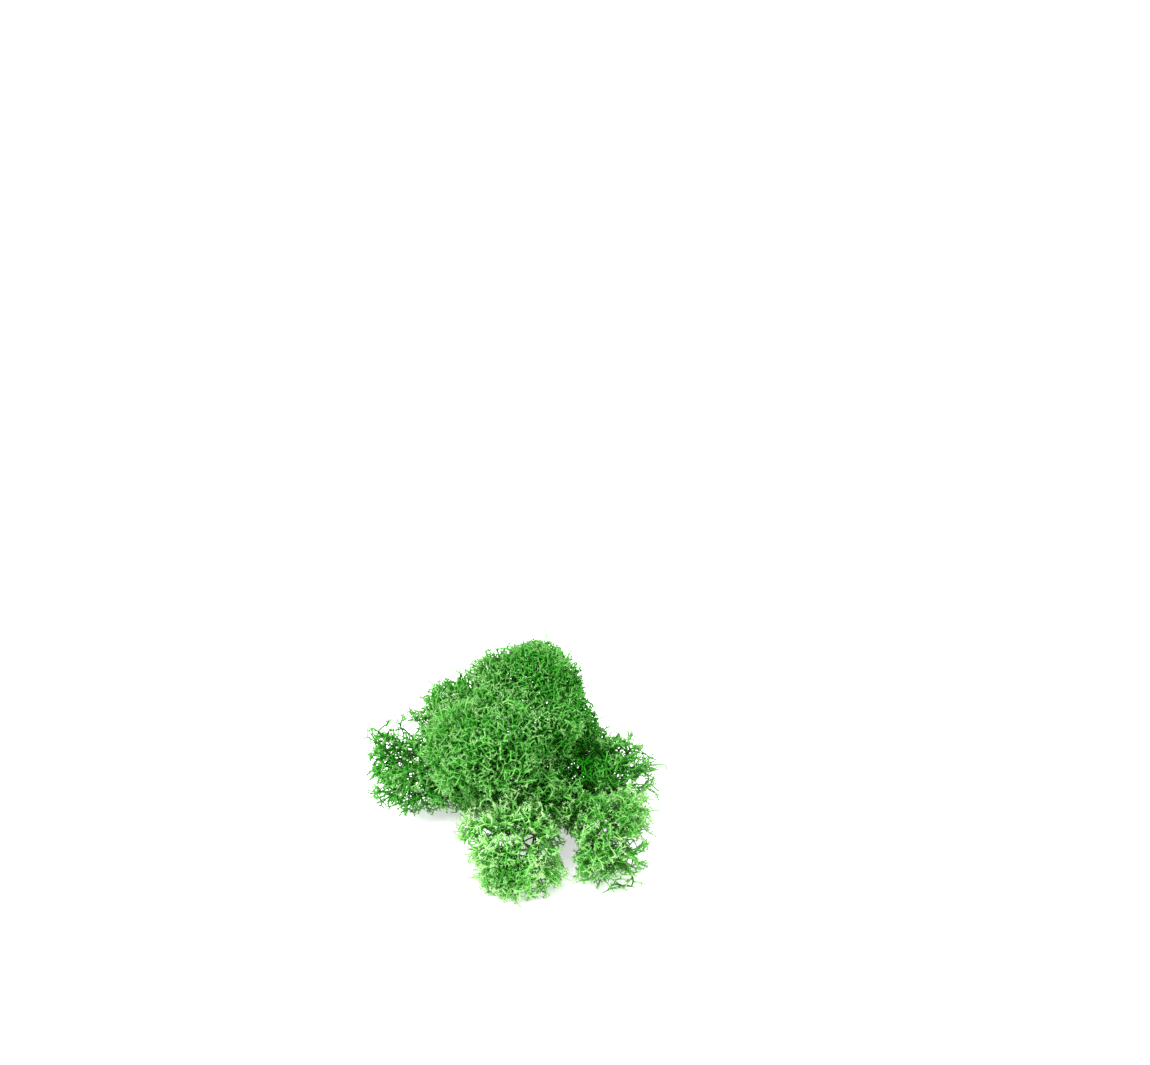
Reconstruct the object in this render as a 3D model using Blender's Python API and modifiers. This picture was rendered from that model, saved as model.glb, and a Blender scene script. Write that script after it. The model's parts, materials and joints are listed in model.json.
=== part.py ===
"""Reindeer moss clump: nine rounded tufts of a loose clump that rests on its flat underside.

Each tuft is one closed body, the outer shape of a stalk that forks into a rounded head.
The tufts lean against each other, and each keeps to its own side of the plane between
itself and a neighbour. Metres, +Z up, +X to the right, the front towards -Y.
"""

from itertools import permutations

import bmesh
import bpy
from mathutils import Vector

MM = 0.001
CLUMP_NAME = "reindeer_moss_clump"

# The gap between two tufts that touch, and the height that the sole is shaved off at
TUFT_GAP = 0.3 * MM
SOLE_HEIGHT = 0.0

# How finely a tuft is modelled
LUMP_SUBDIVISIONS = 4
VOXEL_SIZE = 1.3 * MM
SMOOTH_STEPS = 6
TRIANGLES_PER_TUFT = 760

# The bumps of a tuft's outside, from the small cushions that its branch tips form
CUSHION_SIZE = 9.0 * MM
CUSHION_HEIGHT = 2.4 * MM

# Half the width of the block that each tuft's share of the clump is cut from
SHARE_BLOCK_HALF_WIDTH = 120 * MM

# Colours of the young tips and of the older, shaded branches
TIP_GREEN = (0.130, 0.420, 0.085, 1.0)
MID_GREEN = (0.065, 0.290, 0.055, 1.0)
OLD_GREEN = (0.035, 0.150, 0.030, 1.0)
MOSS_ROUGHNESS = 0.85

# Each tuft's lumps, as centre and half widths in millimetres. The first is its head.
TUFTS = {
    "crown_tuft": (MID_GREEN, [
        ((9.0, 19.5, 41.0), (13.5, 15.0, 15.5)),
        ((12.5, 10.5, 33.0), (13.5, 15.0, 15.0)),
        ((-1.0, 20.0, 38.0), (14.0, 14.0, 14.5)),
        ((4.5, 9.5, 33.0), (15.0, 15.0, 15.0)),
        ((11.5, 15.5, 24.0), (13.0, 13.0, 13.0)),
    ]),
    "shoulder_tuft": (TIP_GREEN, [
        ((-15.5, 24.5, 33.5), (11.5, 12.0, 12.0)),
        ((-6.5, 21.5, 36.0), (12.0, 13.0, 13.0)),
        ((-11.0, 12.5, 31.0), (13.0, 13.0, 13.0)),
        ((-9.5, 18.5, 24.0), (12.0, 12.0, 12.0)),
    ]),
    "left_tuft": (OLD_GREEN, [
        ((-29.5, 18.5, 20.0), (14.0, 14.0, 13.5)),
        ((-26.5, 23.5, 10.5), (11.0, 10.0, 12.0)),
        ((-19.5, 14.5, 19.0), (12.0, 12.0, 12.5)),
    ]),
    "front_tuft": (TIP_GREEN, [
        ((-3.5, -4.5, 32.0), (15.0, 14.0, 14.0)),
        ((-11.0, 3.5, 29.0), (14.0, 14.0, 14.0)),
        ((1.5, 3.0, 32.5), (15.0, 14.0, 15.0)),
        ((1.5, -1.5, 22.0), (14.0, 13.0, 13.0)),
    ]),
    "lower_front_tuft": (MID_GREEN, [
        ((3.0, -28.0, 9.5), (13.5, 13.5, 12.0)),
        ((-0.5, -15.5, 13.0), (13.5, 13.0, 12.5)),
    ]),
    "lower_right_tuft": (MID_GREEN, [
        ((27.5, -22.0, 9.5), (12.0, 12.5, 12.0)),
        ((29.0, -10.5, 13.0), (11.5, 12.0, 12.0)),
        ((21.5, -2.5, 12.0), (10.0, 10.0, 11.0)),
    ]),
    "right_tuft": (TIP_GREEN, [
        ((32.5, 6.5, 20.5), (11.0, 11.0, 11.0)),
        ((24.0, 8.5, 20.0), (11.0, 12.0, 13.0)),
        ((27.5, -2.0, 14.5), (11.0, 10.0, 11.0)),
    ]),
    "back_left_tuft": (OLD_GREEN, [
        ((-11.5, 29.5, 11.0), (14.0, 11.0, 12.0)),
        ((-5.5, 19.5, 11.0), (12.0, 11.0, 11.0)),
    ]),
    "back_right_tuft": (OLD_GREEN, [
        ((17.5, 28.5, 13.0), (15.0, 12.0, 14.0)),
        ((13.5, 18.5, 12.0), (13.0, 12.0, 12.0)),
    ]),
}


def clear_scene():
    """Remove every object, so the script gives the same result in any file."""
    for scene_object in list(bpy.data.objects):
        bpy.data.objects.remove(scene_object, do_unlink=True)


def new_collection(name):
    collection = bpy.data.collections.new(name)
    bpy.context.scene.collection.children.link(collection)
    return collection


def moss_material(name, colour):
    """A matte green material for one tuft."""
    material = bpy.data.materials.new(name)
    material.use_nodes = True
    shader = material.node_tree.nodes["Principled BSDF"]
    shader.inputs["Base Color"].default_value = colour
    shader.inputs["Roughness"].default_value = MOSS_ROUGHNESS
    shader.inputs["Metallic"].default_value = 0.0
    return material


def object_from_bmesh(name, mesh_builder, collection):
    mesh = bpy.data.meshes.new(name)
    mesh_builder.to_mesh(mesh)
    mesh_builder.free()
    new_object = bpy.data.objects.new(name, mesh)
    collection.objects.link(new_object)
    return new_object


def lumps_object(name, lumps, collection):
    """Overlapping rounded lumps that outline one tuft, in one object."""
    builder = bmesh.new()
    for centre, half_widths in lumps:
        made = bmesh.ops.create_icosphere(builder, subdivisions=LUMP_SUBDIVISIONS, radius=1.0)
        bmesh.ops.scale(builder, vec=Vector(half_widths) * MM, verts=made["verts"])
        bmesh.ops.translate(builder, vec=Vector(centre) * MM, verts=made["verts"])
    return object_from_bmesh(name, builder, collection)


def add_shaping(tuft):
    """Fuse the lumps into one skin, raise its cushions and smooth it."""
    fuse = tuft.modifiers.new("fuse_lumps", "REMESH")
    fuse.mode = "VOXEL"
    fuse.voxel_size = VOXEL_SIZE
    fuse.use_smooth_shade = True
    cushions = bpy.data.textures.new(tuft.name + "_cushions", "CLOUDS")
    cushions.noise_scale = CUSHION_SIZE
    raise_cushions = tuft.modifiers.new("raise_cushions", "DISPLACE")
    raise_cushions.texture = cushions
    raise_cushions.texture_coords = "LOCAL"
    raise_cushions.strength = CUSHION_HEIGHT
    smooth = tuft.modifiers.new("smooth", "SMOOTH")
    smooth.iterations = SMOOTH_STEPS


def triangle_count(checked_object):
    graph = bpy.context.evaluated_depsgraph_get()
    shaped = checked_object.evaluated_get(graph).to_mesh()
    shaped.calc_loop_triangles()
    return len(shaped.loop_triangles)


def add_thinning(tuft):
    """Keep only the triangles that the tuft's outline needs."""
    kept_share = TRIANGLES_PER_TUFT / triangle_count(tuft)
    thin = tuft.modifiers.new("thin_triangles", "DECIMATE")
    thin.ratio = kept_share


def dividing_plane(lump, other_lump):
    """A point on the plane between two heads, and its normal towards the other head.

    The plane is where the distances to both heads, less their radii, are shared fairly.
    """
    centre = Vector(lump[0]) * MM
    other_centre = Vector(other_lump[0]) * MM
    radius = sum(lump[1]) / 3 * MM
    other_radius = sum(other_lump[1]) / 3 * MM
    apart = (other_centre - centre).length
    share = (apart ** 2 + radius ** 2 - other_radius ** 2) / (2 * apart)
    normal = (other_centre - centre).normalized()
    return centre + normal * (share - TUFT_GAP / 2), normal


def share_block(name, planes, collection):
    """The part of space on the near side of every plane, as one closed block."""
    builder = bmesh.new()
    bmesh.ops.create_cube(builder, size=2 * SHARE_BLOCK_HALF_WIDTH)
    for point, normal in planes:
        geometry = builder.verts[:] + builder.edges[:] + builder.faces[:]
        cut = bmesh.ops.bisect_plane(
            builder, geom=geometry, plane_co=point, plane_no=normal, clear_outer=True)
        cut_edges = [item for item in cut["geom_cut"] if isinstance(item, bmesh.types.BMEdge)]
        if cut_edges:
            bmesh.ops.holes_fill(builder, edges=cut_edges)
    bmesh.ops.recalc_face_normals(builder, faces=builder.faces)
    block = object_from_bmesh(name, builder, collection)
    block.hide_render = True
    block.display_type = "WIRE"
    return block


def add_share_cut(tuft, block):
    """Trim the tuft to its own block of the clump, and flat where it rests."""
    trim = tuft.modifiers.new("keep_own_share", "BOOLEAN")
    trim.operation = "INTERSECT"
    trim.solver = "EXACT"
    trim.object = block


def centre_clump(clump, tufts):
    """Slide the clump until its middle stands over the origin."""
    graph = bpy.context.evaluated_depsgraph_get()
    corners = []
    for tuft in tufts:
        shaped = tuft.evaluated_get(graph)
        corners += [shaped.matrix_world @ Vector(corner) for corner in shaped.bound_box]
    for axis in range(2):
        places = [corner[axis] for corner in corners]
        clump.location[axis] = -(min(places) + max(places)) / 2


def build_clump():
    clear_scene()
    collection = new_collection(CLUMP_NAME)
    cutters = new_collection("cutters")
    clump = bpy.data.objects.new(CLUMP_NAME, None)
    collection.objects.link(clump)
    tufts = []
    sole = (Vector((0, 0, SOLE_HEIGHT)), Vector((0, 0, -1)))
    planes = {name: [sole] for name in TUFTS}
    for name, other_name in permutations(TUFTS, 2):
        planes[name].append(dividing_plane(TUFTS[name][1][0], TUFTS[other_name][1][0]))
    for name, (colour, lumps) in TUFTS.items():
        tuft = lumps_object(name, lumps, collection)
        tuft.parent = clump
        tuft.data.materials.append(moss_material(name + "_green", colour))
        add_shaping(tuft)
        add_thinning(tuft)
        block = share_block(name + "_share", planes[name], cutters)
        block.parent = clump
        add_share_cut(tuft, block)
        tufts.append(tuft)
    centre_clump(clump, tufts)


build_clump()
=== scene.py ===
"""Looks of a loose clump of reindeer moss, lying on a pale floor.

Every tuft is grown as this lichen grows: a stalk that forks again and again into two, three
or four branches, until they fill the tuft's own outer shape and end in small pointed stars.
Lengths inside the growth are millimetres. Meshes and the scene are in metres.
"""

import json
from math import pi, radians

import bpy
import numpy as np
from mathutils import Matrix, Vector
from mathutils.bvhtree import BVHTree

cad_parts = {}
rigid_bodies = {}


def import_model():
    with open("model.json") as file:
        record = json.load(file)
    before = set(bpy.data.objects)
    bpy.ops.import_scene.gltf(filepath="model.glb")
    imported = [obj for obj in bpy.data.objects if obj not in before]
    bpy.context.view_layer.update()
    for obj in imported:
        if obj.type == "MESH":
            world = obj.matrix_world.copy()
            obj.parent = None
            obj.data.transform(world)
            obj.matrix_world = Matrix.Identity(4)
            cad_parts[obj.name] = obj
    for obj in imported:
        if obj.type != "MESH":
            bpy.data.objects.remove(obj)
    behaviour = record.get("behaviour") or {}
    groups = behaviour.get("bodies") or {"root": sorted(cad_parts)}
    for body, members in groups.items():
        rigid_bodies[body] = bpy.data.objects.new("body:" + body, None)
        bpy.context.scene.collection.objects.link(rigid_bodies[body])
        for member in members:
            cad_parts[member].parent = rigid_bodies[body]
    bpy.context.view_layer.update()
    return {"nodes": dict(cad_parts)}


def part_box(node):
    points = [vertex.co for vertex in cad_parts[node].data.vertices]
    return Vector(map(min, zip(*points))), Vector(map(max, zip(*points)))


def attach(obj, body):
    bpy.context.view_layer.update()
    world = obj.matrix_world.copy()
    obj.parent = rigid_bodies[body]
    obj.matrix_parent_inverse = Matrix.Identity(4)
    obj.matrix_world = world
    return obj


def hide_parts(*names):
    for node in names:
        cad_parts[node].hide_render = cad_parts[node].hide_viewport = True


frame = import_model()

MM = 0.001
BODY = "root"
UV_MAP = "OFBake"
RANDOM = np.random.default_rng(20)

# How each tuft grows. spacing is the usual length between young forks, inset how far under
# the solids' skin they end, and shell how deep the young branches reach in from there. bumpy
# says how far the outside swells, and ragged how far single branches stand out of it. Holes
# take the share open of the net, down to the depth pit. twig is the radius of a tip. The last
# value is the tuft's place between the darkest green and the palest, partly painted light:
# tufts are set paler or darker for how much light falls on them.
HABITS = {
    "crown_tuft": dict(
        spacing=1.25, inset=1.0, shell=8.0, bumpy=1.0, ragged=0.8, open=0.16,
        pit=3.5, twig=0.155, tint_and_painted_light=0.22),
    "shoulder_tuft": dict(
        spacing=1.38, inset=2.2, shell=8.0, bumpy=1.6, ragged=2.6, open=0.20,
        pit=4.5, twig=0.176, tint_and_painted_light=0.24),
    "left_tuft": dict(
        spacing=1.50, inset=1.2, shell=6.0, bumpy=2.2, ragged=3.0, open=0.32,
        pit=30.0, twig=0.180, tint_and_painted_light=0.27),
    "front_tuft": dict(
        spacing=1.40, inset=1.0, shell=8.0, bumpy=1.4, ragged=1.2, open=0.20,
        pit=3.5, twig=0.172, tint_and_painted_light=0.30),
    "lower_front_tuft": dict(
        spacing=1.50, inset=0.9, shell=6.0, bumpy=2.0, ragged=2.8, open=0.42,
        pit=30.0, twig=0.175, tint_and_painted_light=0.95),
    "lower_right_tuft": dict(
        spacing=1.45, inset=0.9, shell=6.0, bumpy=2.0, ragged=2.0, open=0.37,
        pit=30.0, twig=0.170, tint_and_painted_light=0.63),
    "right_tuft": dict(
        spacing=1.45, inset=2.0, shell=6.0, bumpy=2.2, ragged=2.4, open=0.37,
        pit=30.0, twig=0.175, tint_and_painted_light=0.35),
    "back_left_tuft": dict(
        spacing=1.40, inset=1.0, shell=6.0, bumpy=1.6, ragged=2.4, open=0.22,
        pit=6.0, twig=0.175, tint_and_painted_light=0.36),
    "back_right_tuft": dict(
        spacing=1.40, inset=1.0, shell=6.0, bumpy=1.6, ragged=2.4, open=0.22,
        pit=6.0, twig=0.175, tint_and_painted_light=0.38),
}
NAMES = list(HABITS)

# Spots set after the photograph, each as centre, half widths and amount. The net is open
# enough to look through in an open spot, and kept clear where the amount is over 1. It is a
# dense ball in a dense spot. In a shade spot it is painted darker, as painted shade, or paler
# where the amount is negative, as painted light.
OPEN_SPOTS = [
    ((17.0, -25.0, 11.0), (3.4, 8.0, 11.0), 1.2),
    ((-15.0, -8.0, 21.0), (3.5, 8.0, 4.5), 0.60),
    ((-6.0, -8.0, 18.5), (8.0, 9.0, 7.0), 0.50),
    ((5.1, -28.0, 14.6), (2.0, 4.0, 4.0), 0.85),
    ((24.6, -8.0, 22.3), (3.0, 4.0, 4.0), 0.90),
    ((-29.9, 15.0, 33.5), (5.0, 4.0, 4.0), 0.80),
    ((21.0, 0.0, 24.0), (5.5, 1.6, 5.0), 0.60),
    ((-44.5, 18.0, 25.5), (3.5, 8.0, 7.0), 1.2),
    ((-14.5, -26.0, 12.0), (3.5, 5.0, 5.0), 1.2),
    ((-12.0, -32.0, 7.5), (3.0, 5.0, 5.0), 1.2),
    ((41.5, -22.0, 6.0), (3.0, 5.0, 4.0), 1.2),
    ((45.0, 5.0, 28.0), (3.5, 5.0, 4.0), 1.2),
]
DENSE_SPOTS = [((-0.3, -36.0, 10.5), (6.5, 6.5, 6.5), 1.0)]
# Painted shade: branches in the dense ball, the recess and shaded hollows are painted darker;
# the two spots with negative amounts are painted paler, as painted light.
PAINTED_SHADE_SPOTS = [
    ((-0.3, -36.0, 10.5), (6.0, 6.0, 6.0), 0.45),
    ((22.0, 0.0, 24.0), (8.0, 10.0, 6.0), 0.42),
    ((24.0, 17.0, 40.0), (8.0, 12.0, 14.0), 0.27),
    ((-36.0, 18.0, 10.0), (9.0, 14.0, 9.0), 0.25),
    ((-6.0, -15.0, 20.0), (9.0, 12.0, 8.0), -0.20),
    ((9.0, -30.0, 12.0), (6.0, 12.0, 9.0), -0.15),
]
DENSE_SPACING = 0.72

# Holes in the net, from broad noise and fine noise. Those of the open tufts and the open spots
# are this many times as long along the lines of sight, and an open spot's second width is too.
HOLE_STRETCH = 4.0
HEAD_SIZE, HEAD_NOISE = 11.0, 0.40
HOLE_SIZE, HOLE_NOISE = 3.6, 0.85
SPOT_EDGE = 0.2

# Smooth noise: how many waves add up to it, how their lengths spread, and what scales them
WAVES = 9
WAVE_SPREAD = (0.7, 1.5)
WAVES_AT_ONE = 4.5
NOISE_RANGE = 1.6

# The grid that keeps the tufts' outer shapes. FAR stands for anywhere well outside a tuft.
GRID_STEP = 1.0
GRID_MARGIN = 8.0
BOX_MARGIN = 5.0
FAR = 30.0
DEEPEST = 16
UP = Vector((0, 0, 1))
SKIN_STEP = 0.01

# How the tufts' shapes run into one another, and where their branches stay
CLOSED_GAP = 0.6
BLEND = 3.5
STRAY_INTO_NEIGHBOUR = 4.0
FLOOR_GAP = 0.25

# Swells of the outside, as size and height, and the noise that lets single branches out of it
BROAD_SWELL = (13.0, 0.9)
SMALL_SWELL = (5.5, 0.6)
STRAY_SIZE = 3.2
STRAY_FROM = 0.35
STRAY_REACH = 1.8

# Growth, from the roots near the clump's middle through bare inner stalks to the young shell
ROOT_CENTRE = np.array([7.0, 12.0, 5.0])
ROOT_COVER = 2.5
GENERATIONS = 44
TRUNK_GENERATIONS = 4
TRUNK_ROOM = 0.35
INNER_SPACING = 2.6
OUTERMOST = 1.5
OUTERMOST_SPACING = 0.8
STRIDE = (0.9, 1.35)
FORK_TILT = (radians(25), radians(65))
FORK_JITTER = 0.5
FORK_COUNTS, FORK_SHARES = [2, 3, 4], [0.55, 0.35, 0.10]
TRIES = 10
STRAIGHTENINGS = 3
STRAIGHTENING = 0.7

# What a fork's direction is made of, and the depth down to which the open pulls at it
ONWARDS = 0.6
AWAY_FROM_ROOT = 0.7
TO_THE_OPEN = 0.1
ANYWHERE = 0.35
OPEN_REACH = 9

# How near each other two joints may lie, as a part of the spacing
ROOM = 0.74
CROWD_CELL = 1.0
BATCHES = 3

# Pointed twigs: the stars at the tips, and single side twigs on runs without a fork. Their
# length is a part of the spacing.
STAR_TILT = (radians(30), radians(75))
SIDE_TILT = (radians(50), radians(85))
STAR_COUNTS, STAR_SHARES = [3, 4], [0.6, 0.4]
SIDE_TWIG_SHARE = 0.5
TWIG_JITTER = 0.4
TWIG_LENGTH = (0.45, 0.75)
TWIG_FLOOR_GAP = 0.02

# Branch thickness: how a tip's radius grows with the tips carried, and the thickest. Branches
# over ROUND_FROM get more sides.
LOAD_POWER = 1 / 8
THICKEST = 0.55
ROUND_FROM = 0.28
THIN_SIDES = 3
THICK_SIDES = 6
FLARE = 1.15

# A branch's colour turns from young to old over this length, and is painted darker over this
# depth under the clump's outside, as painted shade, down to the share SHADED of full light.
YOUNG_LENGTH = 7.0
LIT_DEPTH = 3.5
SHADED = 0.22
OLDEST, YOUTH_RANGE = 0.01, 0.97
MAP_CIRCLE = 0.006

# Mottling of the light, as patches of painted shade and painted light, and of the tint, each as
# size and amount
LIGHT_MOTTLE = (9.0, 0.20)
BROAD_PATCHES = (14.0, 0.20)
SMALL_PATCHES = (5.0, 0.14)
MEAN_LIGHT = 0.90
OWN_TINT = 0.18
TINT_LIMITS = (0.02, 0.95)

# The lichen's surface: matte, with a little light passing through
LICHEN_ROUGHNESS = 0.8
LICHEN_SPECULAR = 0.08
LICHEN_SUBSURFACE = 0.25
LIGHT_PATHS = (0.6, 1.0, 0.4)
LIGHT_PATH_LENGTH = 0.4 * MM

# Greens from the old stalk, at 0, to the young tip, at 1, on dark branches and on pale ones.
# Painted shade moves a branch down this ramp, towards the old stalk's colours.
DEEP_GREENS = [
    (0.00, (0.022, 0.017, 0.006)),
    (0.04, (0.005, 0.065, 0.002)),
    (0.22, (0.002, 0.130, 0.001)),
    (0.45, (0.012, 0.175, 0.006)),
    (0.70, (0.043, 0.236, 0.022)),
    (1.00, (0.112, 0.275, 0.062)),
]
PALE_GREENS = [
    (0.00, (0.046, 0.037, 0.015)),
    (0.04, (0.025, 0.125, 0.010)),
    (0.22, (0.055, 0.280, 0.026)),
    (0.45, (0.135, 0.425, 0.078)),
    (0.70, (0.270, 0.510, 0.180)),
    (1.00, (0.420, 0.545, 0.320)),
]

# The photograph's camera, from the frame's origin, and about how far it is from the clump
IMAGE_WIDTH = 1150
FOCAL_PIXELS = 2253.5
SENSOR_WIDTH = 36.0
CAMERA_PLACE = (0.0219, -0.60055, 0.31875)
CAMERA_DOWN = radians(20.13)
CAMERA_ROLL = radians(-1.99)
VIEWER = np.array(CAMERA_PLACE) / MM
VIEWER_DISTANCE = 675.0

# A wide soft lamp high at the front left, an even white studio, and a floor that glows faintly
LAMP_DIRECTION = Vector((-0.50, -0.50, 0.80))
LAMP_POWER = 5.2
LAMP_ANGLE = radians(28)
STUDIO_POWER = 2.2
FLOOR_SIZE = 40.0
FLOOR_WHITE = 0.9
FLOOR_ROUGHNESS = 0.9
FLOOR_GLOW = 0.4


def unit(vectors):
    return vectors / np.maximum(np.linalg.norm(vectors, axis=-1, keepdims=True), 1e-9)


def sideways(axis):
    """Two directions square to each axis and to each other, turned at random."""
    side = unit(np.cross(axis, unit(RANDOM.normal(size=axis.shape))))
    return side, np.cross(axis, side)


def tilted(axis, side, other, tilt, turn):
    """Each axis tilted over, towards the way that the turn gives."""
    around = np.cos(turn)[:, None] * side + np.sin(turn)[:, None] * other
    return np.cos(tilt)[:, None] * axis + np.sin(tilt)[:, None] * around


def swell(points, wavelength, seed):
    """Smooth noise from -1 to 1, from a few plane waves in random directions."""
    waves = np.random.default_rng(seed)
    total = np.zeros(len(points))
    for _ in range(WAVES):
        direction = unit(waves.normal(size=3))
        length = wavelength * waves.uniform(*WAVE_SPREAD)
        total += np.sin(points @ direction * 2 * pi / length + waves.uniform(0, 2 * pi))
    return np.clip(total / WAVES_AT_ONE, -1, 1)


def swell_below(share):
    """The value that about this share of the noise lies below."""
    return NOISE_RANGE * (share - 0.5)


def spots(places, points):
    """What the spots add at each point: a spot's amount at its centre, and 0 far off."""
    fields = [
        amount * np.exp(-(((points - centre) / widths) ** 2).sum(1))
        for centre, widths, amount in places]
    return np.sum(fields, axis=0)


def pressed(points):
    """The points with the clump pressed thinner along the photograph's lines of sight."""
    sight = np.asarray(points) - VIEWER
    far = np.linalg.norm(sight, axis=-1, keepdims=True)
    return sight / far * (VIEWER_DISTANCE + (far - VIEWER_DISTANCE) / HOLE_STRETCH)


def mottled(points, size_and_amount, seed):
    """Smooth noise of the given size, times the given amount."""
    size, amount = size_and_amount
    return amount * swell(points, size, seed)


def habit_values(key):
    return np.array([HABITS[name][key] for name in NAMES])


def crossings(tree, x, y, start):
    """The heights at which an upright line passes through a solid's skin."""
    heights = []
    origin = Vector((x, y, start))
    while (hit := tree.ray_cast(origin, UP)[0]) is not None:
        heights.append(hit.z)
        origin = hit + UP * SKIN_STEP
    return heights


def peeled(filled):
    """How many millimetres each filled cell lies under the outside, by peeling layers off."""
    depth = np.zeros(filled.shape)
    for peel in range(DEEPEST):
        depth += filled
        core = filled.copy()
        for axis in range(3):
            core &= np.roll(filled, 1, axis) & np.roll(filled, -1, axis)
            if peel % 2:
                for other in range(axis):
                    for way in ((1, 1), (1, -1), (-1, 1), (-1, -1)):
                        core &= np.roll(filled, way, (axis, other))
        filled = core
    return depth * GRID_STEP


def softened(field):
    for axis in (0, 1, 2, 0, 1, 2):
        field = (np.roll(field, 1, axis) + 2 * field + np.roll(field, -1, axis)) / 4
    return field


class Envelope:
    """The tufts' outer shapes on one grid: how deep a point lies in a tuft and in the clump."""

    def __init__(self):
        corners = np.array([[list(corner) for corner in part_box(name)] for name in NAMES]) / MM
        self.low = corners[:, 0].min(0) - GRID_MARGIN
        high = corners[:, 1].max(0) + GRID_MARGIN
        self.shape = np.ceil((high - self.low) / GRID_STEP).astype(int) + 1
        self.inside = np.stack([
            self.tuft_field(name, *box) for name, box in zip(NAMES, corners)])
        blended = BLEND * np.log(np.exp(self.inside / BLEND).sum(0))
        joined = peeled(self.inside.max(0) > -CLOSED_GAP)
        self.skin = np.maximum(blended, joined) - self.inset()
        self.depth = peeled(self.skin > 0)
        self.outward = -np.stack(np.gradient(softened(self.depth)), axis=-1)

    def tuft_field(self, name, low, high):
        """Distance into one tuft, negative outside it, read from its solid."""
        solid = frame["nodes"][name].data
        tree = BVHTree.FromPolygons(
            [vertex.co / MM for vertex in solid.vertices],
            [polygon.vertices for polygon in solid.polygons])
        field = np.full(self.shape, -FAR)
        first = np.maximum((low - BOX_MARGIN - self.low) / GRID_STEP, 0).astype(int)
        last = np.ceil((high + BOX_MARGIN - self.low) / GRID_STEP).astype(int) + 1
        last = np.minimum(last, self.shape)
        heights = self.low[2] + np.arange(first[2], last[2]) * GRID_STEP
        for cell in np.ndindex(*(last - first)[:2]):
            column = tuple(first[:2] + cell)
            x, y = self.low[:2] + np.array(column) * GRID_STEP
            skins = crossings(tree, x, y, heights[0])
            covered = np.searchsorted(skins, heights) % 2 == 1
            distance = np.array([tree.find_nearest((x, y, height))[3] for height in heights])
            field[column][first[2]:last[2]] = np.where(covered, distance, -distance)
        return field

    def inset(self):
        """How far the grown outside lies under the solids' skin, or over it where negative."""
        points = self.low + np.argwhere(np.ones(self.shape, bool)) * GRID_STEP
        swells = mottled(points, BROAD_SWELL, seed=3) + mottled(points, SMALL_SWELL, seed=4)
        tuft = self.inside.argmax(0)
        return (
            habit_values("inset")[tuft]
            + habit_values("bumpy")[tuft] * swells.reshape(self.shape))

    def read(self, field, points):
        """A field's value at points between the grid's own, blended from the eight corners."""
        place = np.clip((points - self.low) / GRID_STEP, 0, self.shape - 1.001)
        base = place.astype(int)
        part = place - base
        total = 0
        for corner in np.ndindex(2, 2, 2):
            weight = np.prod(np.where(corner, part, 1 - part), axis=1)
            value = field[tuple((base + corner).T)]
            total = total + value * weight.reshape(-1, *[1] * (value.ndim - 1))
        return total

    def depth_in_tuft(self, tufts, points):
        depth = np.empty(len(points))
        for number in range(len(NAMES)):
            chosen = tufts == number
            if chosen.any():
                depth[chosen] = self.read(self.inside[number], points[chosen])
        return depth


def steps_around(reach):
    """Steps from a cell to the cells around it, nearest first."""
    steps = np.array(list(np.ndindex(*[2 * reach + 1] * 3))) - reach
    return steps[np.argsort((steps ** 2).sum(1), kind="stable")]


class Crowd:
    """Remembers a joint for each small cell of space, so that new ones keep their distance."""

    def __init__(self, envelope):
        self.low = envelope.low
        cells = np.ceil(envelope.shape * GRID_STEP / CROWD_CELL).astype(int) + 1
        self.joint = np.full((*cells, 3), np.inf)

    def claim(self, points, rooms):
        """Which points have no joint nearer than their room; those are joints from now on."""
        free = np.zeros(len(points), bool)
        for batch in range(BATCHES):
            mine = np.arange(batch, len(points), BATCHES)
            if len(mine):
                settled = mine[self.spare(points[mine], rooms[mine])]
                free[settled] = True
                self.joint[self.cells(points[settled])] = points[settled]
        return free

    def cells(self, points, step=0):
        place = ((points - self.low) / CROWD_CELL).astype(int) + step
        return tuple(np.clip(place, 0, np.array(self.joint.shape[:3]) - 1).T)

    def spare(self, points, rooms):
        """The points with room, at most one for each cell."""
        own_cell = np.ravel_multi_index(self.cells(points), self.joint.shape[:3])
        waiting = np.unique(own_cell, return_index=True)[1]
        for step in steps_around(int(np.ceil(rooms.max() / CROWD_CELL))):
            joint = self.joint[self.cells(points[waiting], step)]
            gap = np.linalg.norm(joint - points[waiting], axis=1)
            waiting = waiting[gap > rooms[waiting]]
        return waiting


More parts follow.
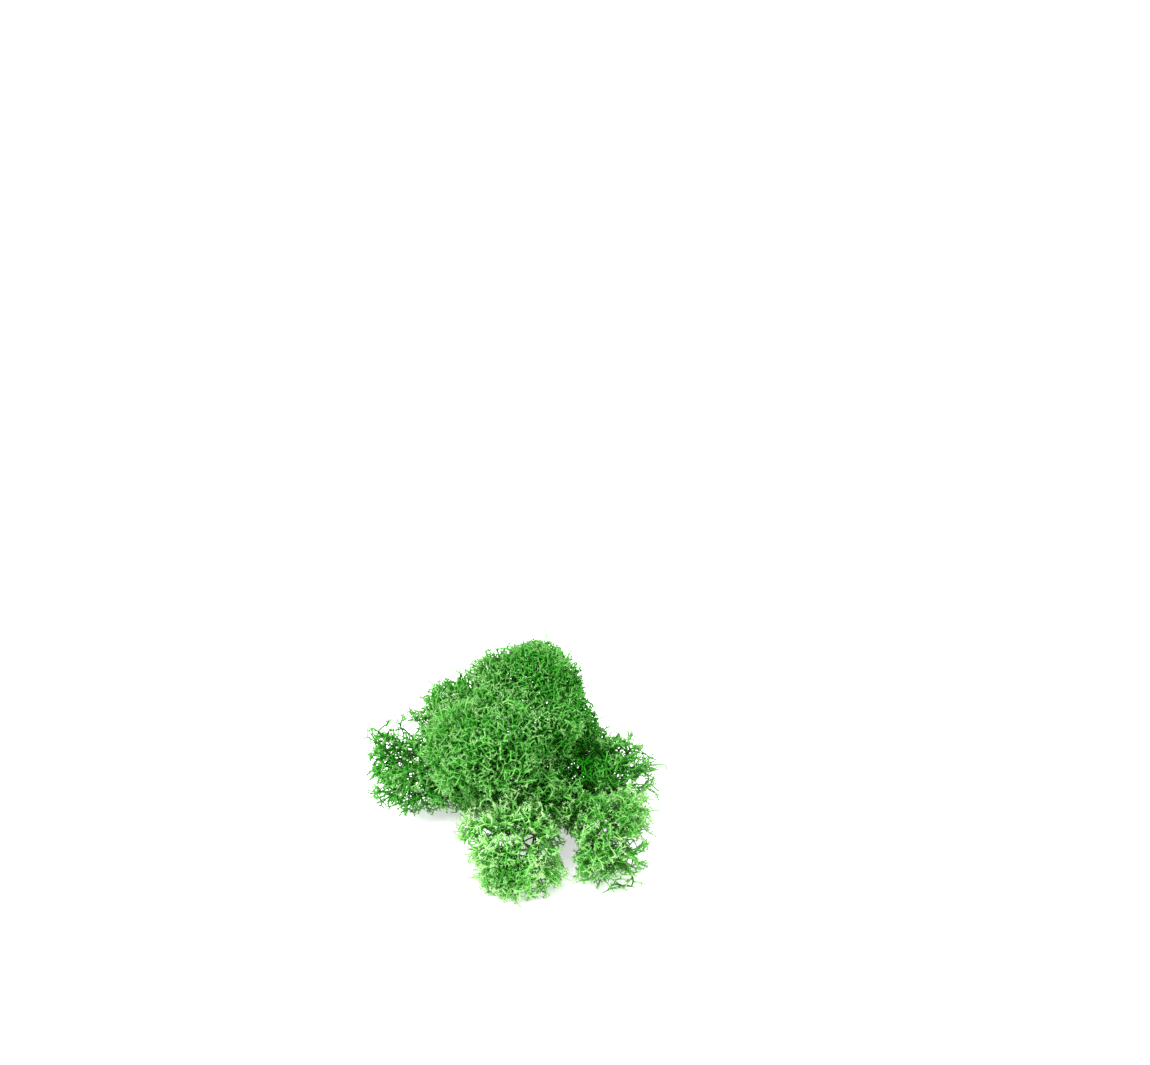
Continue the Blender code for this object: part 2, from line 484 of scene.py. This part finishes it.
class Growth:
    """The forking stalks as one tree: each joint's place, parent, tuft and heading.

    A joint's parent always comes before it, and the first joints are the tufts' roots.
    """

    def __init__(self, envelope):
        self.envelope = envelope
        self.crowd = Crowd(envelope)
        self.open_spots = [(pressed(centre), *rest) for centre, *rest in OPEN_SPOTS]
        self.place, self.parent, self.tuft, self.heading = self.roots()

    def roots(self):
        """One root for each tuft: the place nearest the clump's middle that its solid covers."""
        places, headings = [], []
        for number in range(len(NAMES)):
            covered = np.argwhere(self.envelope.inside[number] > ROOT_COVER)
            points = self.envelope.low + covered * GRID_STEP
            nearest = points[np.linalg.norm(points - ROOT_CENTRE, axis=1).argmin()]
            places.append(nearest)
            headings.append(unit(points.mean(0) - nearest))
        count = len(NAMES)
        return np.array(places), np.full(count, -1), np.arange(count), np.array(headings)

    def add(self, place, parent, heading):
        self.place = np.concatenate([self.place, place])
        self.parent = np.concatenate([self.parent, parent])
        self.tuft = np.concatenate([self.tuft, self.tuft[parent]])
        self.heading = np.concatenate([self.heading, heading])

    def run(self):
        """Grow until nothing finds room any more."""
        tips = np.arange(len(NAMES))
        for generation in range(GENERATIONS):
            tips = self.step(tips, generation < TRUNK_GENERATIONS)
            if len(tips) == 0:
                break

    def step(self, tips, trunk):
        """Let each tip fork once, where there is room, and give back the new tips."""
        depth = self.envelope.read(self.envelope.depth, self.place[tips])
        tuft = self.tuft[tips]
        spacing = self.spacing(tips, depth, trunk)
        room = spacing * (TRUNK_ROOM if trunk else ROOM)
        wanted = RANDOM.choice(FORK_COUNTS, p=FORK_SHARES, size=len(tips))
        got = np.zeros(len(tips), int)
        axis = self.fork_axis(tips, depth)
        side, other = sideways(axis)
        first_new = len(self.place)
        for attempt in range(TRIES):
            jitter = RANDOM.uniform(-FORK_JITTER, FORK_JITTER, len(tips))
            turn = 2 * pi * attempt / wanted + jitter
            heading = tilted(axis, side, other, RANDOM.uniform(*FORK_TILT, len(tips)), turn)
            reach = spacing * RANDOM.uniform(*STRIDE, len(tips))
            place = self.place[tips] + heading * reach[:, None]
            trying = np.flatnonzero((got < wanted) & self.allowed(place, tuft, trunk))
            if len(trying):
                RANDOM.shuffle(trying)
                free = trying[self.crowd.claim(place[trying], room[trying])]
                got[free] += 1
                self.add(place[free], tips[free], heading[free])
        return np.arange(first_new, len(self.place))

    def spacing(self, tips, depth, trunk):
        """The usual length of the next branches: short at the outside and in a dense ball."""
        tuft = self.tuft[tips]
        young = (depth < habit_values("shell")[tuft]) & (not trunk)
        dense = DENSE_SPACING ** spots(DENSE_SPOTS, self.place[tips])
        outer = np.where(depth < OUTERMOST, OUTERMOST_SPACING, 1)
        return np.where(young, habit_values("spacing")[tuft] * dense, INNER_SPACING) * outer

    def fork_axis(self, tips, depth):
        """Where a fork points: onwards, away from the root, out to the open and anywhere."""
        here, tuft = self.place[tips], self.tuft[tips]
        near = np.clip(1 - depth / OPEN_REACH, 0, 1)[:, None]
        onwards = ONWARDS * self.heading[tips]
        away = AWAY_FROM_ROOT * (1 - near) * unit(here - self.place[tuft])
        to_open = unit(self.envelope.read(self.envelope.outward, here))
        outward = (TO_THE_OPEN + TO_THE_OPEN * near) * to_open
        anywhere = ANYWHERE * (1 + near) * unit(RANDOM.normal(size=here.shape))
        return unit(onwards + away + outward + anywhere)

    def allowed(self, place, tuft, trunk):
        """Inside the grown outside or on a stray branch, off the floor and not in a hole."""
        stray = np.maximum(swell(place, STRAY_SIZE, seed=5) - STRAY_FROM, 0)
        stray = stray * habit_values("ragged")[tuft] * STRAY_REACH
        in_clump = self.envelope.read(self.envelope.skin, place) > -stray
        in_tuft = self.envelope.depth_in_tuft(tuft, place) > -STRAY_INTO_NEIGHBOUR
        above_floor = place[:, 2] > FLOOR_GAP
        return in_clump & in_tuft & above_floor & (trunk | ~self.hole(place, tuft))

    def hole(self, place, tuft):
        """Holes in the net: pits of the tuft's own depth, and the open spots."""
        pitted = self.envelope.read(self.envelope.depth, place) < habit_values("pit")[tuft]
        share = habit_values("open")[tuft] * pitted - spots(DENSE_SPOTS, place)
        seen = pressed(place)
        in_spot = spots(self.open_spots, seen)
        share = np.maximum(share, in_spot)
        open_tuft = (habit_values("pit") > habit_values("shell"))[tuft]
        right_through = open_tuft | (in_spot > SPOT_EDGE)
        where = np.where(right_through[:, None], seen, place)
        noise = HEAD_NOISE * swell(where, HEAD_SIZE, seed=6)
        noise = noise + HOLE_NOISE * swell(where, HOLE_SIZE, seed=7)
        return noise < swell_below(share)

    def prune(self):
        """Take away branches that end deep inside, where no light would have kept them."""
        depth = self.envelope.read(self.envelope.depth, self.place)
        useful = depth < habit_values("shell")[self.tuft]
        useful[:len(NAMES)] = True
        for joint in range(len(useful) - 1, len(NAMES) - 1, -1):
            useful[self.parent[joint]] |= useful[joint]
        new_number = np.cumsum(useful) - 1
        parent = self.parent[useful]
        self.parent = np.where(parent >= 0, new_number[parent], -1)
        self.place, self.tuft, self.heading = (
            values[useful] for values in (self.place, self.tuft, self.heading))

    def child_counts(self):
        return np.bincount(self.parent[len(NAMES):], minlength=len(self.parent))

    def straighten(self):
        """Take the bends out of runs without a fork."""
        child = np.zeros(len(self.parent), int)
        child[self.parent[len(NAMES):]] = np.arange(len(NAMES), len(self.parent))
        single = np.flatnonzero((self.child_counts() == 1) & (self.parent >= 0))
        for _ in range(STRAIGHTENINGS):
            middle = (self.place[self.parent[single]] + self.place[child[single]]) / 2
            self.place[single] += STRAIGHTENING * (middle - self.place[single])
        self.heading = unit(self.place - self.place[self.parent])

    def add_twigs(self, joints, counts, tilts):
        """Give each joint its count of short pointed twigs, spread round its heading."""
        axis = self.heading[joints]
        side, other = sideways(axis)
        for number in range(counts.max()):
            chosen = np.flatnonzero(number < counts)
            jitter = RANDOM.uniform(-TWIG_JITTER, TWIG_JITTER, len(chosen))
            turn = 2 * pi * number / counts[chosen] + jitter
            tilt = RANDOM.uniform(*tilts, len(chosen))
            heading = tilted(axis[chosen], side[chosen], other[chosen], tilt, turn)
            spacing = habit_values("spacing")[self.tuft[joints[chosen]]]
            length = spacing * RANDOM.uniform(*TWIG_LENGTH, len(chosen))
            place = self.place[joints[chosen]] + heading * length[:, None]
            place[:, 2] = np.maximum(place[:, 2], TWIG_FLOOR_GAP)
            self.add(place, joints[chosen], heading)

    def finish_tips(self):
        """End every branch in a star, and set side twigs on some of the unforked runs."""
        counts = self.child_counts()
        ends = np.flatnonzero(counts == 0)
        single = np.flatnonzero(counts == 1)
        single = single[RANDOM.random(len(single)) < SIDE_TWIG_SHARE]
        star_counts = RANDOM.choice(STAR_COUNTS, p=STAR_SHARES, size=len(ends))
        self.add_twigs(ends, star_counts, STAR_TILT)
        self.add_twigs(single, np.ones(len(single), int), SIDE_TILT)

    def measure(self):
        """Set each joint's branch radius, and which branch carries on through its fork."""
        load = np.zeros(len(self.place))
        for joint in range(len(load) - 1, -1, -1):
            load[joint] = max(load[joint], 1)
            if self.parent[joint] >= 0:
                load[self.parent[joint]] += load[joint]
        twig = habit_values("twig")[self.tuft]
        self.radius = np.minimum(twig * load ** LOAD_POWER, THICKEST)
        self.onward = np.full(len(load), -1)
        strongest_last = np.lexsort((load, self.parent))[len(NAMES):]
        self.onward[self.parent[strongest_last]] = strongest_last

    def run_starts(self):
        """The first joint of each run: one that its parent doesn't carry on into, or a trunk."""
        joints = np.arange(len(NAMES), len(self.place))
        branches = joints[self.onward[self.parent[joints]] != joints]
        trunks = self.onward[:len(NAMES)]
        return np.concatenate([branches, trunks[trunks >= 0]])

    def colour(self):
        """Set each joint's place on the map of greens: its youth, darkened with painted shade,
        and its tint, with painted shade and light.
        """
        length = np.linalg.norm(self.place - self.place[self.parent], axis=1)
        behind = np.zeros(len(length))
        for joint in range(len(length) - 1, len(NAMES) - 1, -1):
            parent = self.parent[joint]
            behind[parent] = max(behind[parent], behind[joint] + length[joint])
        # Painted shade: branches deeper under the clump's outside and in the shade spots are
        # painted darker, the mottle paints patches of shade and light, and negative spot amounts
        # paint light.
        depth = self.envelope.read(self.envelope.depth, self.place)
        light = SHADED + (1 - SHADED) * np.exp(-depth / LIT_DEPTH)
        painted_shade = spots(PAINTED_SHADE_SPOTS, self.place)
        light *= (1 - painted_shade) * (MEAN_LIGHT + mottled(self.place, LIGHT_MOTTLE, seed=10))
        light = np.minimum(light, 1)
        self.youth_and_shade = OLDEST + YOUTH_RANGE * np.exp(-behind / YOUNG_LENGTH) * light
        patches = mottled(self.place, BROAD_PATCHES, seed=8)
        patches = patches + mottled(self.place, SMALL_PATCHES, seed=9)
        own = RANDOM.uniform(-OWN_TINT, OWN_TINT, len(length))
        # The tint is the tuft's own value, partly painted light, less the painted shade of the
        # shade spots, with random patches and each branch's own random tint.
        tint_and_painted_light = habit_values("tint_and_painted_light")[self.tuft] - painted_shade + patches + own
        self.tint_and_painted_light = np.clip(tint_and_painted_light, *TINT_LIMITS)


class Tubes:
    """One piece's mesh in the making: closed, tapering, pointed tubes along runs of joints."""

    def __init__(self, growth):
        self.growth = growth
        self.vertices, self.triangles, self.map_places = [], [], []
        self.count = 0

    def keep(self, vertices, map_places):
        """Add vertices, and give back the number of the first one."""
        self.vertices.append(vertices.reshape(-1, 3))
        self.map_places.append(map_places.reshape(-1, 2))
        self.count += len(self.vertices[-1])
        return self.count - len(self.vertices[-1])

    def ring(self, joints, tangent, across, widths, sides):
        """A ring of vertices round each joint; gives back the first of each ring."""
        turn = np.arange(sides) * 2 * pi / sides
        circle = np.stack([np.cos(turn), np.sin(turn)], axis=1)
        ways = np.stack([across, np.cross(tangent, across)], axis=1)
        places = self.growth.place[joints][:, None] + circle @ ways * widths[:, None, None]
        middles = np.stack([self.growth.youth_and_shade[joints], self.growth.tint_and_painted_light[joints]], axis=1)
        first = self.keep(places, middles[:, None] + MAP_CIRCLE * circle)
        return first + np.arange(len(joints)) * sides

    def close_start(self, ring, sides):
        for corner in range(1, sides - 1):
            self.triangles.append(np.stack([ring, ring + corner + 1, ring + corner], 1))

    def close_end(self, ring, joints, sides):
        """Draw each ring to a point at its joint."""
        middles = np.stack([self.growth.youth_and_shade[joints], self.growth.tint_and_painted_light[joints]], axis=1)
        point = self.keep(self.growth.place[joints], middles) + np.arange(len(joints))
        for corner in range(sides):
            after = (corner + 1) % sides
            self.triangles.append(np.stack([ring + corner, ring + after, point], 1))

    def join(self, ring, next_ring, sides):
        for corner in range(sides):
            after = (corner + 1) % sides
            near, far = ring + corner, next_ring + after
            self.triangles.append(np.stack([near, ring + after, far], 1))
            self.triangles.append(np.stack([near, far, next_ring + corner], 1))

    def add_runs(self, run, sides):
        """Tubes along the runs that start at these joints, each rooted in its parent joint."""
        growth = self.growth
        parent = growth.parent[run]
        tangent = unit(growth.place[run] - growth.place[parent])
        across = sideways(tangent)[0]
        widths = np.minimum(growth.radius[parent], growth.radius[run] * FLARE)
        ring = self.ring(parent, tangent, across, widths, sides)
        self.close_start(ring, sides)
        while len(run):
            ends = growth.onward[run] < 0
            self.close_end(ring[ends], run[ends], sides)
            run, ring, across = run[~ends], ring[~ends], across[~ends]
            after = growth.onward[run]
            inward = unit(growth.place[run] - growth.place[growth.parent[run]])
            tangent = unit(inward + unit(growth.place[after] - growth.place[run]))
            across = unit(across - (across * tangent).sum(1, keepdims=True) * tangent)
            next_ring = self.ring(run, tangent, across, growth.radius[run], sides)
            self.join(ring, next_ring, sides)
            run, ring = after, next_ring

    def mesh(self, name):
        vertices = np.concatenate(self.vertices) * MM
        triangles = np.concatenate(self.triangles)
        map_places = np.concatenate(self.map_places)
        mesh = bpy.data.meshes.new(name)
        mesh.vertices.add(len(vertices))
        mesh.vertices.foreach_set("co", vertices.astype(np.float32).ravel())
        mesh.loops.add(triangles.size)
        mesh.loops.foreach_set("vertex_index", triangles.astype(np.int32).ravel())
        mesh.polygons.add(len(triangles))
        mesh.polygons.foreach_set("loop_start", np.arange(0, triangles.size, 3, dtype=np.int32))
        mesh.polygons.foreach_set("use_smooth", np.ones(len(triangles), bool))
        mesh.update(calc_edges=True)
        layer = mesh.uv_layers.new(name=UV_MAP)
        layer.data.foreach_set("uv", map_places[triangles.ravel()].astype(np.float32).ravel())
        return mesh


def age_ramp(nodes, stops):
    ramp = nodes.new("ShaderNodeValToRGB")
    elements = ramp.color_ramp.elements
    elements.remove(elements[1])
    elements[0].position, elements[0].color = stops[0][0], (*stops[0][1], 1)
    for position, colour in stops[1:]:
        elements.new(position).color = (*colour, 1)
    return ramp


def lichen_material():
    """Matte green that pales from the old stalks to the young tips, in a mottle of tints, with
    painted shade and light read from the map.
    """
    material = bpy.data.materials.new("lichen_green")
    material.use_nodes = True
    nodes, links = material.node_tree.nodes, material.node_tree.links
    shader = nodes["Principled BSDF"]
    shader.inputs["Roughness"].default_value = LICHEN_ROUGHNESS
    shader.inputs["Specular IOR Level"].default_value = LICHEN_SPECULAR
    shader.inputs["Subsurface Weight"].default_value = LICHEN_SUBSURFACE
    shader.inputs["Subsurface Radius"].default_value = LIGHT_PATHS
    shader.inputs["Subsurface Scale"].default_value = LIGHT_PATH_LENGTH
    place = nodes.new("ShaderNodeUVMap")
    place.uv_map = UV_MAP
    youth_tint_and_shade = nodes.new("ShaderNodeSeparateXYZ")
    links.new(place.outputs["UV"], youth_tint_and_shade.inputs["Vector"])
    mix = nodes.new("ShaderNodeMix")
    mix.data_type = "RGBA"
    links.new(youth_tint_and_shade.outputs["Y"], mix.inputs["Factor"])
    for stops, socket in ((DEEP_GREENS, "A"), (PALE_GREENS, "B")):
        ramp = age_ramp(nodes, stops)
        links.new(youth_tint_and_shade.outputs["X"], ramp.inputs["Fac"])
        links.new(ramp.outputs["Color"], mix.inputs[socket])
    links.new(mix.outputs["Result"], shader.inputs["Base Color"])
    return material


def grow_tufts():
    """Grow the whole clump, and make each tuft's branches one piece in place of its solid."""
    growth = Growth(Envelope())
    growth.run()
    growth.prune()
    growth.straighten()
    growth.finish_tips()
    growth.measure()
    growth.colour()
    starts = growth.run_starts()
    thick = growth.radius[starts] >= ROUND_FROM
    material = lichen_material()
    for number, name in enumerate(NAMES):
        own = growth.tuft[starts] == number
        tubes = Tubes(growth)
        tubes.add_runs(starts[own & ~thick], THIN_SIDES)
        tubes.add_runs(starts[own & thick], THICK_SIDES)
        piece_name = name.replace("_tuft", "_branches")
        piece = bpy.data.objects.new(piece_name, tubes.mesh(piece_name))
        bpy.context.scene.collection.objects.link(piece)
        piece.data.materials.append(material)
        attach(piece, BODY)
        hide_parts(name)


def build_floor():
    bpy.ops.mesh.primitive_plane_add(size=FLOOR_SIZE)
    floor = bpy.context.object
    floor.name = "floor"
    material = bpy.data.materials.new("floor_white")
    material.use_nodes = True
    shader = material.node_tree.nodes["Principled BSDF"]
    shader.inputs["Base Color"].default_value = (FLOOR_WHITE, FLOOR_WHITE, FLOOR_WHITE, 1)
    shader.inputs["Roughness"].default_value = FLOOR_ROUGHNESS
    shader.inputs["Emission Color"].default_value = (1, 1, 1, 1)
    shader.inputs["Emission Strength"].default_value = FLOOR_GLOW
    floor.data.materials.append(material)


def build_light():
    light = bpy.data.lights.new("soft_lamp", "SUN")
    light.energy = LAMP_POWER
    light.angle = LAMP_ANGLE
    lamp = bpy.data.objects.new("soft_lamp", light)
    lamp.rotation_euler = (-LAMP_DIRECTION).to_track_quat("-Z", "Y").to_euler()
    bpy.context.scene.collection.objects.link(lamp)
    world = bpy.data.worlds.new("studio")
    bpy.context.scene.world = world
    world.use_nodes = True
    background = world.node_tree.nodes["Background"]
    background.inputs["Color"].default_value = (1, 1, 1, 1)
    background.inputs["Strength"].default_value = STUDIO_POWER
    bpy.context.scene.view_settings.view_transform = "Standard"


def build_camera():
    data = bpy.data.cameras.new("camera")
    data.sensor_width = SENSOR_WIDTH
    data.lens = FOCAL_PIXELS / IMAGE_WIDTH * SENSOR_WIDTH
    camera = bpy.data.objects.new("camera", data)
    camera.location = CAMERA_PLACE
    pitch = Matrix.Rotation(pi / 2 - CAMERA_DOWN, 4, "X")
    camera.rotation_euler = (pitch @ Matrix.Rotation(CAMERA_ROLL, 4, "Z")).to_euler()
    bpy.context.scene.collection.objects.link(camera)
    bpy.context.scene.camera = camera


build_camera()
build_floor()
build_light()
grow_tufts()
